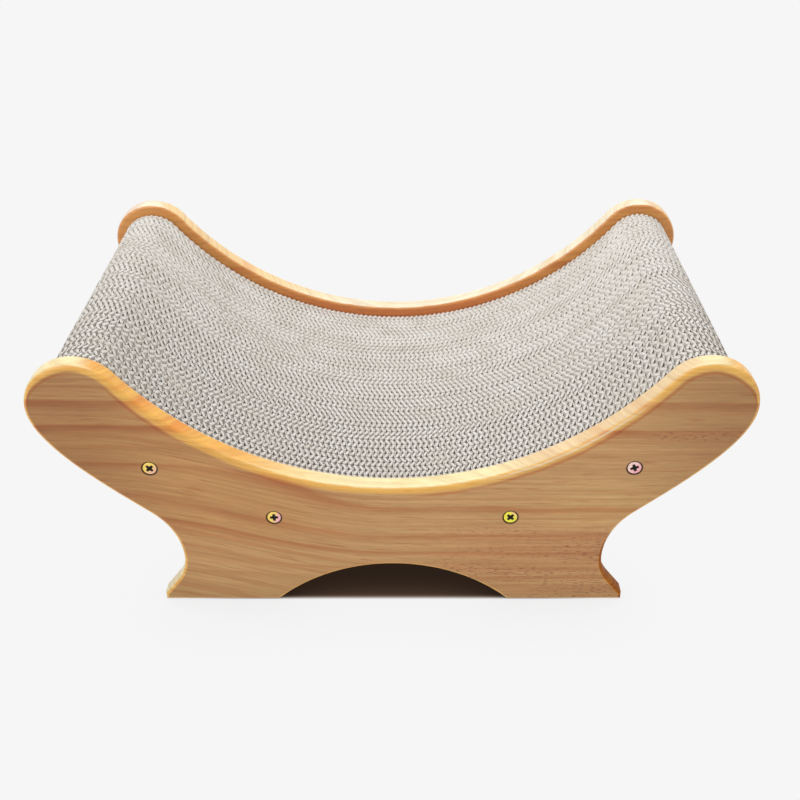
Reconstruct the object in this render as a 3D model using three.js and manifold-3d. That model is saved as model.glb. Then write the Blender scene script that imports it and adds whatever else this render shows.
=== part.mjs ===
// Cat scratcher lounger: a block of glued corrugated-cardboard layers with a curved seat lies
// between two pine side panels. Four cross rails tie the panels together, each held by a
// countersunk cross-head screw at both ends. The block is notched from below over the rails,
// so it lifts straight out when it is worn.
//
// Units are millimetres. +Z is up, +X runs along the seat from ear to ear, and -Y is the front.
// The origin is on the floor, in the middle of the four feet.

import * as THREE from 'three';
import { mergeVertices } from 'three/addons/utils/BufferGeometryUtils.js';
import Module from 'manifold-3d';

const wasm = await Module();
wasm.setup();

// Driving dimensions of the side panels
const overallLength = 450;
const panelThickness = 13.5;
const panelEdgeRadius = 3;
const seatRadius = 221.7;
const seatLowestHeight = 93.5;
const earRadius = 31;
const waistWidth = 278;
const waistHeight = 36;
const waistRadiusBelow = 30.7;
const waistRadiusAbove = 47.5;
const flankAngle = 39.3;
const flankReachLow = 31;
const flankReachHigh = 27.3;
const footFlare = 16;
const footLipHeight = 2;
const archSpan = 154.4;
const archRise = 30.4;

// Driving dimensions of the scratching pad
const layerCount = 45;
const layerThickness = 5.07;
const glueLine = 0.3;
const padInset = 7.5;

// Driving dimensions of the cross rails
const railWidth = 20;
const railHeight = 20;
const railDepthBelowSeat = 35;
const innerRailAngle = 17.4;
const outerRailAngle = 36.6;

// Driving dimensions of the screws
const screwLength = 45;
const screwShankDiameter = 4.5;
const screwHeadDiameter = 8.8;
const screwHeadRim = 0.5;
const screwPointLength = 6;
const recessWidth = 1.1;
const recessSpan = 5;
const recessDepth = 1.6;

// Clearances
const padSideClearance = 0.6;
const padSeatGap = 0.3;
const notchClearance = 1;
const railEndGap = 0.3;
const screwClearance = 0.3;
const screwHeadSink = 0.2;
const pilotSpareDepth = 2;
const cutterOverrun = 1;

// How far a flat facet may lie from the true curve
const panelFacetSag = 0.15;
const padFacetSag = 0.7;
const flankFacets = 10;
const edgeFacets = 3;
const screwFacets = 14;

// Sizes that follow from the driving ones
const padWidth = layerCount * layerThickness + (layerCount - 1) * glueLine;
const innerWidth = padWidth + 2 * padSideClearance;
const overallWidth = innerWidth + 2 * panelThickness;
const layerPitch = layerThickness + glueLine;
const earCentreX = overallLength / 2 - earRadius;
const seatCentreHeight = seatLowestHeight + seatRadius;
const earCentreHeight =
  seatCentreHeight - Math.sqrt((seatRadius + earRadius) ** 2 - earCentreX ** 2);
const seatHalfAngle = Math.asin(earCentreX / (seatRadius + earRadius));
const padTopRadius = seatRadius + padInset;
const padEndRadius = earRadius - padInset;
const padUnderRadius = padTopRadius + 2 * padEndRadius;
const railRadius = seatRadius + railDepthBelowSeat;
const headConeDepth = (screwHeadDiameter - screwShankDiameter) / 2;

const downward = -Math.PI / 2;

function radians(degrees) {
  return (degrees * Math.PI) / 180;
}

// Points along an arc, without its last one, close enough together for the allowed sag
function arc(centreX, centreY, radius, from, to, sag) {
  const step = 2 * Math.acos(1 - Math.min(sag / radius, 0.5));
  const count = Math.max(2, Math.ceil(Math.abs(to - from) / step));
  const points = [];
  for (let i = 0; i < count; i += 1) {
    const angle = from + ((to - from) * i) / count;
    points.push(
      new THREE.Vector2(centreX + radius * Math.cos(angle), centreY + radius * Math.sin(angle)),
    );
  }
  return points;
}

function mirrored(points) {
  return points.map((p) => new THREE.Vector2(-p.x, p.y)).reverse();
}

// Right half of a panel's outline, from the arch's crown out along the floor and up to the ear
function panelRightSide() {
  const archRadius = ((archSpan / 2) ** 2 + archRise ** 2) / (2 * archRise);
  const archHalfAngle = Math.asin(archSpan / 2 / archRadius);
  const archStart = Math.PI / 2;
  const arch = arc(
    0, archRise - archRadius, archRadius, archStart, archStart - archHalfAngle, panelFacetSag,
  );

  // The foot's side: a short upright lip above the board's rounded edge, then a straight slope
  // that runs smoothly into the hollow below the waist. The hollow never reaches past the toe.
  const toeX = waistWidth / 2 + footFlare;
  const toeHeight = panelEdgeRadius + footLipHeight;
  const flareHeight = waistHeight - toeHeight;
  const largestHollow = (footFlare ** 2 + flareHeight ** 2) / (2 * footFlare);
  const hollowRadius = Math.min(waistRadiusBelow, largestHollow);
  const hollowCentreX = waistWidth / 2 + hollowRadius;
  const toeDistance = Math.hypot(hollowCentreX - toeX, flareHeight);
  const hollowAngle =
    Math.atan2(flareHeight, hollowCentreX - toeX) - Math.acos(Math.min(1, hollowRadius / toeDistance));
  const foot = [
    new THREE.Vector2(archSpan / 2, 0),
    new THREE.Vector2(toeX, 0),
    new THREE.Vector2(toeX, toeHeight),
    ...arc(
      hollowCentreX, waistHeight, hollowRadius, Math.PI + hollowAngle, Math.PI, panelFacetSag,
    ),
  ];

  // Above the waist the side turns outward, then one sweep carries it up to the ear
  const flank = radians(flankAngle);
  const turnEnd = Math.PI / 2 + flank;
  const waistCentreX = waistWidth / 2 + waistRadiusAbove;
  const waist = arc(waistCentreX, waistHeight, waistRadiusAbove, Math.PI, turnEnd, panelFacetSag);
  const flankStart = new THREE.Vector2(
    waistCentreX + waistRadiusAbove * Math.cos(turnEnd),
    waistHeight + waistRadiusAbove * Math.sin(turnEnd),
  );
  const earSide = new THREE.Vector2(earCentreX + earRadius, earCentreHeight);
  const sweep = new THREE.CubicBezierCurve(
    flankStart,
    new THREE.Vector2(
      flankStart.x + flankReachLow * Math.cos(flank),
      flankStart.y + flankReachLow * Math.sin(flank),
    ),
    new THREE.Vector2(earSide.x, earSide.y - flankReachHigh),
    earSide,
  );
  const ear = arc(
    earCentreX, earCentreHeight, earRadius, 0, Math.PI / 2 + seatHalfAngle, panelFacetSag,
  );
  return [...arch, ...foot, ...waist, ...sweep.getPoints(flankFacets).slice(0, -1), ...ear];
}

function panelOutline() {
  const right = panelRightSide();
  const seat = arc(
    0, seatCentreHeight, seatRadius, downward + seatHalfAngle, downward - seatHalfAngle,
    panelFacetSag,
  );
  const seatEnd = new THREE.Vector2(-seat[0].x, seat[0].y);
  const left = mirrored(right.slice(1));
  return [...right, ...seat, seatEnd, ...left];
}

// Outline of one cardboard layer: a band of even height with round ends, notched over the rails
function layerOutline() {
  const top = arc(
    0, seatCentreHeight, padTopRadius, downward + seatHalfAngle, downward - seatHalfAngle,
    padFacetSag,
  );
  const leftEnd = arc(
    -earCentreX, earCentreHeight, padEndRadius,
    Math.PI / 2 - seatHalfAngle, (3 * Math.PI) / 2 - seatHalfAngle, padFacetSag,
  );
  const rightEnd = arc(
    earCentreX, earCentreHeight, padEndRadius,
    downward + seatHalfAngle, Math.PI / 2 + seatHalfAngle, padFacetSag,
  );
  const underside = [];
  let angle = downward - seatHalfAngle;
  for (const rail of railPlaces()) {
    const halfNotch = railWidth / 2 + notchClearance;
    const notchTop = rail.height + railHeight / 2 + padSeatGap;
    const enter = downward + Math.asin((rail.x - halfNotch) / padUnderRadius);
    const leave = downward + Math.asin((rail.x + halfNotch) / padUnderRadius);
    underside.push(
      ...arc(0, seatCentreHeight, padUnderRadius, angle, enter, padFacetSag),
      pointOnCircle(padUnderRadius, enter),
      new THREE.Vector2(rail.x - halfNotch, notchTop),
      new THREE.Vector2(rail.x + halfNotch, notchTop),
    );
    angle = leave;
  }
  underside.push(
    ...arc(0, seatCentreHeight, padUnderRadius, angle, downward + seatHalfAngle, padFacetSag),
  );
  return [...top, ...leftEnd, ...underside, ...rightEnd];
}

function pointOnCircle(radius, angle) {
  return new THREE.Vector2(
    radius * Math.cos(angle),
    seatCentreHeight + radius * Math.sin(angle),
  );
}

// Centres of the four rails, from left to right, on one circle under the seat
function railPlaces() {
  const places = [];
  for (const degrees of [-outerRailAngle, -innerRailAngle, innerRailAngle, outerRailAngle]) {
    const point = pointOnCircle(railRadius, downward + radians(degrees));
    places.push({ x: point.x, height: point.y });
  }
  return places;
}

// Manifold solid of a closed geometry, and the way back
function toSolid(geometry) {
  const bare = geometry.clone();
  bare.deleteAttribute('normal');
  bare.deleteAttribute('uv');
  const merged = mergeVertices(bare, 1e-5);
  const mesh = new wasm.Mesh({
    numProp: 3,
    vertProperties: new Float32Array(merged.attributes.position.array),
    triVerts: new Uint32Array(merged.index.array),
  });
  return new wasm.Manifold(mesh);
}

function toGeometry(solid) {
  const mesh = solid.getMesh();
  const geometry = new THREE.BufferGeometry();
  geometry.setAttribute('position', new THREE.BufferAttribute(mesh.vertProperties, 3));
  geometry.setIndex(new THREE.BufferAttribute(mesh.triVerts, 1));
  geometry.computeVertexNormals();
  return geometry;
}

// A round solid along +Y, starting at Y = 0, from pairs of [radius, distance]
function turned(profile) {
  const points = profile.map(([radius, distance]) => new THREE.Vector2(radius, distance));
  return new THREE.LatheGeometry(points, screwFacets);
}

function placed(geometry, x, y, z) {
  return geometry.clone().translate(x, y, z);
}

// Clearance hole and countersink through a panel whose outer face is at Y = 0
function screwHoleCutter() {
  const headHole = screwHeadDiameter / 2 + screwClearance;
  const shankHole = screwShankDiameter / 2 + screwClearance;
  const rimDepth = screwHeadSink + screwHeadRim + screwClearance;
  return turned([
    [0, -cutterOverrun],
    [headHole, -cutterOverrun],
    [headHole, rimDepth],
    [shankHole, rimDepth + headHole - shankHole],
    [shankHole, panelThickness + cutterOverrun],
    [0, panelThickness + cutterOverrun],
  ]);
}

// A panel stands with its outer face at Y = 0 and its inner face at Y = panelThickness
function panelGeometry() {
  const shape = new THREE.Shape(panelOutline());
  const blank = new THREE.ExtrudeGeometry(shape, {
    depth: panelThickness - 2 * panelEdgeRadius,
    bevelEnabled: true,
    bevelThickness: panelEdgeRadius,
    bevelSize: panelEdgeRadius,
    bevelOffset: -panelEdgeRadius,
    bevelSegments: edgeFacets,
  });
  blank.rotateX(Math.PI / 2);
  blank.translate(0, panelThickness - panelEdgeRadius, 0);
  let solid = toSolid(blank);
  for (const rail of railPlaces()) {
    solid = solid.subtract(toSolid(placed(screwHoleCutter(), rail.x, 0, rail.height)));
  }
  return toGeometry(solid);
}

// A rail lies along Y, centred on the origin, with a pilot hole in each end
function railGeometry() {
  const length = innerWidth - 2 * railEndGap;
  const pilotRadius = screwShankDiameter / 2 + screwClearance;
  const pilotDepth = screwLength + screwHeadSink + pilotSpareDepth - panelThickness;
  const pilot = turned([
    [0, -cutterOverrun],
    [pilotRadius, -cutterOverrun],
    [pilotRadius, pilotDepth - pilotRadius],
    [0, pilotDepth],
  ]);
  let solid = toSolid(new THREE.BoxGeometry(railWidth, length, railHeight));
  const frontPilot = placed(pilot, 0, -length / 2, 0);
  const rearPilot = frontPilot.clone().rotateZ(Math.PI);
  solid = solid.subtract(toSolid(frontPilot)).subtract(toSolid(rearPilot));
  return toGeometry(solid);
}

// A screw points along +Y, with the flat of its head at Y = 0
function screwGeometry(turn) {
  const headRadius = screwHeadDiameter / 2;
  const shankRadius = screwShankDiameter / 2;
  const body = turned([
    [0, 0],
    [headRadius, 0],
    [headRadius, screwHeadRim],
    [shankRadius, screwHeadRim + headConeDepth],
    [shankRadius, screwLength - screwPointLength],
    [0, screwLength],
  ]);
  let solid = toSolid(body);
  for (const crossing of [0, Math.PI / 2]) {
    const slot = new THREE.BoxGeometry(recessSpan, 2 * recessDepth, recessWidth);
    slot.rotateY(crossing + turn);
    solid = solid.subtract(toSolid(slot));
  }
  return toGeometry(solid);
}

const pine = new THREE.MeshStandardMaterial({ color: 0xc79a66, roughness: 0.4, metalness: 0 });
const cardboard = new THREE.MeshStandardMaterial({ color: 0xd0c9bd, roughness: 0.9, metalness: 0 });
const railPine = new THREE.MeshStandardMaterial({ color: 0xd9b98a, roughness: 0.7, metalness: 0 });
const plated = new THREE.MeshStandardMaterial({ color: 0xc8a850, roughness: 0.3, metalness: 1 });

const lounger = new THREE.Group();

function addPiece(name, geometry, material, x, y, z) {
  const piece = new THREE.Mesh(geometry, material);
  piece.name = name;
  piece.position.set(x, y, z);
  lounger.add(piece);
  return piece;
}

function addPanels() {
  const panel = panelGeometry();
  addPiece('front_side_panel', panel, pine, 0, -overallWidth / 2, 0);
  const rear = panel.clone().rotateZ(Math.PI);
  addPiece('rear_side_panel', rear, pine, 0, overallWidth / 2, 0);
}

const railNames = ['outer_left', 'inner_left', 'inner_right', 'outer_right'];

function addRails() {
  const rail = railGeometry();
  railPlaces().forEach((place, i) => {
    addPiece(`${railNames[i]}_cross_rail`, rail, railPine, place.x, 0, place.height);
  });
}

// Each screw stopped at its own angle when it was driven home
function addScrews() {
  const frontTurns = [45, 3, 48, 20];
  const rearTurns = [12, 40, 28, 65];
  const headY = overallWidth / 2 - screwHeadSink;
  railPlaces().forEach((place, i) => {
    const front = screwGeometry(radians(frontTurns[i]));
    addPiece(`front_${railNames[i]}_screw`, front, plated, place.x, -headY, place.height);
    const rear = screwGeometry(radians(rearTurns[i])).rotateZ(Math.PI);
    addPiece(`rear_${railNames[i]}_screw`, rear, plated, place.x, headY, place.height);
  });
}

function addPad() {
  const shape = new THREE.Shape(layerOutline());
  const layer = new THREE.ExtrudeGeometry(shape, { depth: layerThickness, bevelEnabled: false });
  layer.rotateX(Math.PI / 2);
  for (let i = 0; i < layerCount; i += 1) {
    const backFace = -padWidth / 2 + i * layerPitch + layerThickness;
    const number = String(i + 1).padStart(2, '0');
    addPiece(`cardboard_layer_${number}`, layer, cardboard, 0, backFace, 0);
  }
}

addPanels();
addRails();
addScrews();
addPad();

export default lounger;
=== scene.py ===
"""Looks of the cat scratcher lounger: two lacquered pine side panels on four cross rails,
plated countersunk screws, and a curved block of corrugated cardboard stood on its cut edge."""

import math
import random

import bpy
from mathutils import Matrix, Vector
from mathutils.geometry import tessellate_polygon


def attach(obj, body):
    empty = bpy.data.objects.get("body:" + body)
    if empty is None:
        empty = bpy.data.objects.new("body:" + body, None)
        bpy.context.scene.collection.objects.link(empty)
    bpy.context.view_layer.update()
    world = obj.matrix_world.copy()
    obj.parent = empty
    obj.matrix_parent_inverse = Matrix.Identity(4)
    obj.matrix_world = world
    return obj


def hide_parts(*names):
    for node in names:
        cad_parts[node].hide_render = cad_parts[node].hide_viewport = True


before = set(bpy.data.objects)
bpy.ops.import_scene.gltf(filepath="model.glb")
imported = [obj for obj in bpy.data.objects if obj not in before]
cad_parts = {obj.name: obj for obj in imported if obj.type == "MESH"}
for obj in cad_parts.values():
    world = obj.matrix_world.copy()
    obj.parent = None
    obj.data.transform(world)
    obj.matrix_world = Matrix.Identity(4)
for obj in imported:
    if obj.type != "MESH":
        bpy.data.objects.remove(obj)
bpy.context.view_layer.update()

MM = 0.001

# Side panels, in millimetres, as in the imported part
OVERALL_LENGTH = 450.0
PANEL_THICKNESS = 13.5
PANEL_EDGE_RADIUS = 3.0
SEAT_RADIUS = 221.7
SEAT_LOWEST_HEIGHT = 93.5
EAR_RADIUS = 31.0
WAIST_WIDTH = 278.0
WAIST_HEIGHT = 36.0
WAIST_RADIUS_BELOW = 30.7
WAIST_RADIUS_ABOVE = 47.5
FLANK_ANGLE = math.radians(39.3)
FLANK_REACH_LOW = 31.0
FLANK_REACH_HIGH = 27.3
FOOT_FLARE = 16.0
FOOT_LIP_HEIGHT = 2.0
ARCH_SPAN = 154.4
ARCH_RISE = 30.4

# How finely the panels' round stretches are drawn, and which corners stay smooth
ARCH_STEP = math.radians(1.5)
WAIST_STEP = math.radians(3)
EAR_STEP = math.radians(4)
SEAT_STEP = math.radians(0.8)
FLANK_POINTS = 48
EDGE_STEPS = 8
SMOOTH_CORNER = math.radians(14)

# Scratching pad
LAYER_COUNT = 45
LAYER_THICKNESS = 5.07
GLUE_LINE = 0.3
PAD_INSET = 7.5
PAD_SIDE_CLEARANCE = 0.6
PAD_SEAT_GAP = 0.3
NOTCH_CLEARANCE = 1.0

# Wavy sheet of a layer, whose flutes all lean one way
FLUTE_WAVELENGTH = 3.75
FLUTE_POINTS = 10
LEANS_SEED = 77
LEAN_LEAST = 0.2
LEAN_MOST = 0.5
LEAN_TURNS_CHANCE = 0.66
FLUTE_SLIP = 0.3
DRIFT_COUNT = 3
DRIFT_SIZES = (0.15, 0.5)
DRIFT_RATES = (0.01, 0.06)
FRONT_FLUTE_PAPER = 1.6
REAR_FLUTE_PAPER = 2.2
FOLDED_SHARE = 0.55
FOLDED_DIP = 1.1
FOLD_STEEPNESS = 1.4
FLUTE_OVERLAP = 0.3
FLUTE_END_GAP = 0.6

# Flat liners of a layer, and the cut edges of all its paper
LINER_PAPER = 0.24
LINER_RECESS = 1.4
LINER_SIDE_GAP = 0.01
LINER_STEPS = 90
LINER_REACH = 0.9999
LINER_ROUGHNESS = 0.05
NOTCH_CORNER = 0.02
LAYERS_SEED = 4100
CUT_ROUGHNESS = 0.3
CUT_END_GAP = 0.01
CUT_LEAST_HEIGHT = 0.05

# Cross rails
RAIL_WIDTH = 20.0
RAIL_HEIGHT = 20.0
RAIL_DEPTH_BELOW_SEAT = 35.0
RAIL_ANGLES = [math.radians(a) for a in (-36.6, -17.4, 17.4, 36.6)]
RAIL_NAMES = ["outer_left", "inner_left", "inner_right", "outer_right"]
RAIL_END_GAP = 0.3
RAIL_EASED_EDGE = 1.2
RAIL_EDGE_STEPS = 4

# Screws: the head's rounding steps are (in from its edge, down from its face) pairs
SCREW_LENGTH = 45.0
SCREW_SHANK_RADIUS = 2.25
SCREW_HEAD_RADIUS = 4.4
SCREW_HEAD_RIM = 0.5
SCREW_HEAD_ROUNDING = ((0.35, 0.0), (0.12, 0.06), (0.0, 0.2))
SCREW_POINT_LENGTH = 6.0
SCREW_POINT_RADIUS = 0.15
SCREW_HEAD_SINK = 0.2
RECESS_REACH = 2.75
RECESS_HALF_WIDTH = 0.78
RECESS_CORNER_SHARE = 1.35
RECESS_FLOOR_SHARE = 0.45
RECESS_DEPTH = 1.6
FRONT_TURNS = [math.radians(a) for a in (45, 3, 48, 20)]
REAR_TURNS = [math.radians(a) for a in (12, 40, 28, 65)]

# Screw holes
COUNTERSINK_RADIUS = 5.2
COUNTERSINK_DEPTH = 0.45
HEAD_HOLE_DEPTH = 1.0
HEAD_HOLE_CLEARANCE = 0.25
SHANK_HOLE_CLEARANCE = 0.3
ROUND_SEGMENTS = 48

# Sizes that follow
LAYER_PITCH = LAYER_THICKNESS + GLUE_LINE
PAD_WIDTH = LAYER_COUNT * LAYER_THICKNESS + (LAYER_COUNT - 1) * GLUE_LINE
INNER_WIDTH = PAD_WIDTH + 2 * PAD_SIDE_CLEARANCE
OVERALL_WIDTH = INNER_WIDTH + 2 * PANEL_THICKNESS
EAR_X = OVERALL_LENGTH / 2 - EAR_RADIUS
TOE_X = WAIST_WIDTH / 2 + FOOT_FLARE
SEAT_CENTRE_HEIGHT = SEAT_LOWEST_HEIGHT + SEAT_RADIUS
EAR_CENTRE_HEIGHT = SEAT_CENTRE_HEIGHT - math.sqrt((SEAT_RADIUS + EAR_RADIUS) ** 2 - EAR_X**2)
SEAT_HALF_ANGLE = math.asin(EAR_X / (SEAT_RADIUS + EAR_RADIUS))
PAD_TOP_RADIUS = SEAT_RADIUS + PAD_INSET
PAD_END_RADIUS = EAR_RADIUS - PAD_INSET
PAD_UNDER_RADIUS = PAD_TOP_RADIUS + 2 * PAD_END_RADIUS
PAD_HALF_LENGTH = EAR_X + PAD_END_RADIUS
RAIL_RADIUS = SEAT_RADIUS + RAIL_DEPTH_BELOW_SEAT
RAIL_PLACES = [
    (RAIL_RADIUS * math.sin(a), SEAT_CENTRE_HEIGHT - RAIL_RADIUS * math.cos(a)) for a in RAIL_ANGLES
]
HEAD_HOLE_RADIUS = SCREW_HEAD_RADIUS + HEAD_HOLE_CLEARANCE
SHANK_HOLE_RADIUS = SCREW_SHANK_RADIUS + SHANK_HOLE_CLEARANCE
HOLE_LEVELS = [
    (COUNTERSINK_RADIUS, 0.0),
    (HEAD_HOLE_RADIUS, COUNTERSINK_DEPTH),
    (HEAD_HOLE_RADIUS, HEAD_HOLE_DEPTH),
    (SHANK_HOLE_RADIUS, HEAD_HOLE_DEPTH + HEAD_HOLE_RADIUS - SHANK_HOLE_RADIUS),
    (SHANK_HOLE_RADIUS, PANEL_THICKNESS),
]


def linear(red, green, blue):
    """A screen colour of 0 to 255 as the linear colour that shaders take."""
    parts = []
    for value in (red, green, blue):
        v = value / 255
        parts.append(v / 12.92 if v <= 0.04045 else ((v + 0.055) / 1.055) ** 2.4)
    return (*parts, 1.0)


class Graph:
    """A material's node tree, with short calls for the nodes that the surfaces use."""

    def __init__(self, name):
        self.material = bpy.data.materials.new(name)
        self.material.use_nodes = True
        self.tree = self.material.node_tree
        self.shader = self.tree.nodes["Principled BSDF"]
        self.place = self.node("ShaderNodeTexCoord").outputs["Object"]

    def node(self, kind, inputs=(), **settings):
        """A new node with its settings, and with values or links for some of its inputs."""
        made = self.tree.nodes.new(kind)
        for key, value in settings.items():
            setattr(made, key, value)
        for key, value in dict(inputs).items():
            self.link(value, made.inputs[key])
        return made

    def link(self, value, socket):
        if isinstance(value, bpy.types.NodeSocket):
            self.tree.links.new(value, socket)
        else:
            socket.default_value = value

    def set(self, **values):
        """Values or colours on the shader's own sockets, named as they are with _ for a space."""
        for key, value in values.items():
            self.link(value, self.shader.inputs[key.replace("_", " ")])

    def math(self, operation, first, second=0.0, third=0.0):
        inputs = {0: first, 1: second, 2: third}
        return self.node("ShaderNodeMath", inputs, operation=operation).outputs[0]

    def chain(self, operation, values):
        result = values[0]
        for value in values[1:]:
            result = self.math(operation, result, value)
        return result

    def times(self, *values):
        return self.chain("MULTIPLY", values)

    def plus(self, *values):
        return self.chain("ADD", values)

    def largest(self, *values):
        return self.chain("MAXIMUM", values)

    def minus(self, first, second):
        return self.math("SUBTRACT", first, second)

    def absolute(self, value):
        return self.math("ABSOLUTE", value)

    def reach(self, across, up):
        """The length of the way across and up."""
        return self.math("SQRT", self.plus(self.times(across, across), self.times(up, up)))

    def spread(self, value, at_zero, at_one):
        """A number that goes from at_zero to at_one as the value goes from 0 to 1."""
        return self.math("MULTIPLY_ADD", value, at_one - at_zero, at_zero)

    def mix(self, share, first, second, blend="MIX"):
        inputs = {"Factor": share, "A": first, "B": second}
        made = self.node("ShaderNodeMix", inputs, data_type="RGBA", blend_type=blend)
        return made.outputs["Result"]

    def darken(self, share, tone, value, shade):
        """The tone, multiplied by the shade where the value is 0 and kept where it is 1."""
        return self.mix(share, tone, self.mix(value, shade, (1, 1, 1, 1)), "MULTIPLY")

    def split(self, vector):
        return self.node("ShaderNodeSeparateXYZ", {0: vector}).outputs

    def join(self, x, y, z):
        return self.node("ShaderNodeCombineXYZ", {0: x, 1: y, 2: z}).outputs[0]

    def stretched(self, vector, scales):
        """The vector with each axis scaled by its own number."""
        inputs = {0: vector, 1: scales}
        return self.node("ShaderNodeVectorMath", inputs, operation="MULTIPLY").outputs[0]

    def millimetres(self):
        """The place in the part's frame as X, Y and Z in millimetres."""
        return self.split(self.stretched(self.place, (1 / MM, 1 / MM, 1 / MM)))

    def noise(self, vector, detail=2.0, roughness=0.5):
        inputs = {"Vector": vector, "Scale": 1.0, "Detail": detail, "Roughness": roughness}
        return self.node("ShaderNodeTexNoise", inputs).outputs["Fac"]

    def mottle(self, scales, detail=2.0, roughness=0.5):
        """Noise over the part's frame, with a scale per metre for each axis."""
        return self.noise(self.stretched(self.place, scales), detail, roughness)

    def between(self, value, low, high):
        """0 below low, 1 above high and smooth between them; low may be the larger one."""
        inputs = {"Value": value, "From Min": min(low, high), "From Max": max(low, high)}
        inputs["To Min"] = 0.0 if low < high else 1.0
        inputs["To Max"] = 1.0 if low < high else 0.0
        made = self.node("ShaderNodeMapRange", inputs, interpolation_type="SMOOTHSTEP")
        return made.outputs["Result"]

    def window(self, value, low, full, fading, high):
        """1 from full to fading, and smoothly down to 0 at low and at high on either side."""
        return self.times(self.between(value, low, full), self.between(value, high, fading))

    def ramp(self, value, span, stops):
        """A value read off a line through (place, height) stops, with places from 0 to span."""
        made = self.node("ShaderNodeValToRGB")
        self.link(self.math("DIVIDE", value, span), made.inputs[0])
        line = made.color_ramp
        line.interpolation = "EASE"
        line.elements.remove(line.elements[1])
        for count, (place, height) in enumerate(stops):
            stop = line.elements[0] if count == 0 else line.elements.new(place / span)
            stop.position = place / span
            stop.color = (height, height, height, 1)
        return made.outputs["Color"]

    def bump(self, height, distance, strength):
        inputs = {"Height": height, "Distance": distance, "Strength": strength}
        self.set(Normal=self.node("ShaderNodeBump", inputs).outputs["Normal"])

    def normal(self):
        """The surface's own direction in the part's frame."""
        coordinates = self.node("ShaderNodeTexCoord")
        return self.split(coordinates.outputs["Normal"])


# Pine: rings are (height across the board in millimetres, strength) pairs

RING_SPAN = 200.0
RING_SHARP_SIDE = 2.5
RING_LEAST = 0.06
FRONT_RINGS = [
    (14, 0.5), (31, 0.6), (50, 0.7), (62, 0.4), (75.5, 0.85), (90.5, 0.8),
    (102, 0.45), (113, 0.85), (125, 0.6), (140.5, 1.0), (159.5, 0.95), (169, 0.5),
]
REAR_RINGS = [
    (10, 0.6), (27, 0.5), (45, 0.8), (58, 0.4), (80, 0.7), (97, 0.8),
    (120, 0.5), (137, 0.85), (150, 0.4), (166, 0.7),
]
RAIL_RINGS = [(40 + 6.5 * i, 0.35 + 0.5 * (i * 5 % 7) / 6) for i in range(13)]
FRONT_FLECK_ROWS = [44, 82, 137.5]
REAR_FLECK_ROWS = [52, 110, 158]
RAIL_FLECK_ROWS = [60, 90]
FLECK_ROW_REACH = 6.0
RINGS_FALL = 36.0
RINGS_TILT = 0.22
RAIL_RINGS_TILT = 0.35

# Tones of the pine's details, tints that its tone is multiplied by, some of them painted light and
# shade, and the X of its lightest part
RESIN = linear(132, 66, 40)
# Painted shade on the countersink walls
PAINTED_COUNTERSINK_SHADE = linear(72, 50, 36)
# Painted highlight on the rounded edge
PAINTED_HIGHLIGHT = linear(255, 240, 206)
# Right of the foot: darker end grain with painted shade
RIGHT_OF_FOOT_GRAIN_AND_SHADE = (linear(196, 124, 56), linear(158, 88, 40))
STREAK_TINT = (0.5, 0.38, 0.28, 1)
FIBRE_TINT = (0.55, 0.44, 0.36, 1)
# Painted shade in a thin line below the gold
PAINTED_SHADE_LINE_TINT = (0.96, 0.62, 0.36, 1)
EAR_TINT = (0.74, 0.68, 0.6, 1)
FOOT_TINT = (0.93, 0.95, 0.92, 1)
REDDER_TINT = (0.94, 0.86, 0.76, 1)
YELLOWER_TINT = (1.08, 1.16, 1.14, 1)
REDDISH_TINT = (1.01, 0.95, 0.95, 1)
# The next two tints adjust painted light and shade on the inner face and on the rims
INNER_END_TINT = (1.05, 1.4, 1.35, 1)
LEFT_SLOPE_TINT = (0.91, 0.8, 0.83, 1)
# Painted contact shadow along the bottom edge, at the floor
PAINTED_CONTACT_SHADOW_TINT = (0.66, 0.56, 0.44, 1)
LIGHT_MIDDLE = 8.0


def drawn_out(g, along, across, rates, layer, detail=2.0, roughness=0.5):
    """Noise with a rate along the rings and another across them, read at one of its layers."""
    place = g.join(g.times(along, rates[0]), layer, g.times(across, rates[1]))
    return g.noise(place, detail, roughness)


def late_wood(g, along, height, level, rings):
    """The dark wood of the rings: each grows darker and ends sharply, with faint bands and
    dashes between them."""
    stops = [(0.0, 0.0)]
    for place, strength in rings:
        stops += [(place, strength), (place + RING_SHARP_SIDE, RING_LEAST)]
    late = g.math("POWER", g.ramp(height, RING_SPAN, stops), 2.4)
    patchy = drawn_out(g, along, height, (0.013, 0.06), 2.0)
    late = g.times(late, g.spread(g.between(patchy, 0.34, 0.6), 0.65, 1.1))
    bands = drawn_out(g, along, level, (0.0024, 0.17), 1.0, 3.0, 0.6)
    late = g.largest(late, g.times(g.between(bands, 0.47, 0.72), 0.5))
    dashes = drawn_out(g, along, level, (0.035, 0.5), 6.0)
    return g.largest(late, g.times(g.between(dashes, 0.54, 0.74), 0.6))


def resin_flecks(g, along, height, level, fleck_rows, speckled):
    """Short dark flecks, in rows along the rings and where speckled is 1."""
    stops = [(0.0, 0.0)]
    for place in fleck_rows:
        stops += [(place - FLECK_ROW_REACH, 0.0), (place, 1.0), (place + FLECK_ROW_REACH, 0.0)]
    rows = g.ramp(height, RING_SPAN, stops)
    fields = drawn_out(g, along, height, (0.012, 0.04), 9.0, 1.0)
    rows = g.times(rows, g.between(fields, 0.4, 0.52), g.between(along, -25, 5))
    rows = g.largest(rows, g.times(speckled, g.between(fields, 0.3, 0.6)))
    pores = drawn_out(g, along, level, (0.24, 0.95), 5.0, 1.0)
    return g.times(g.between(pores, 0.54, 0.64), rows)


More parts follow.
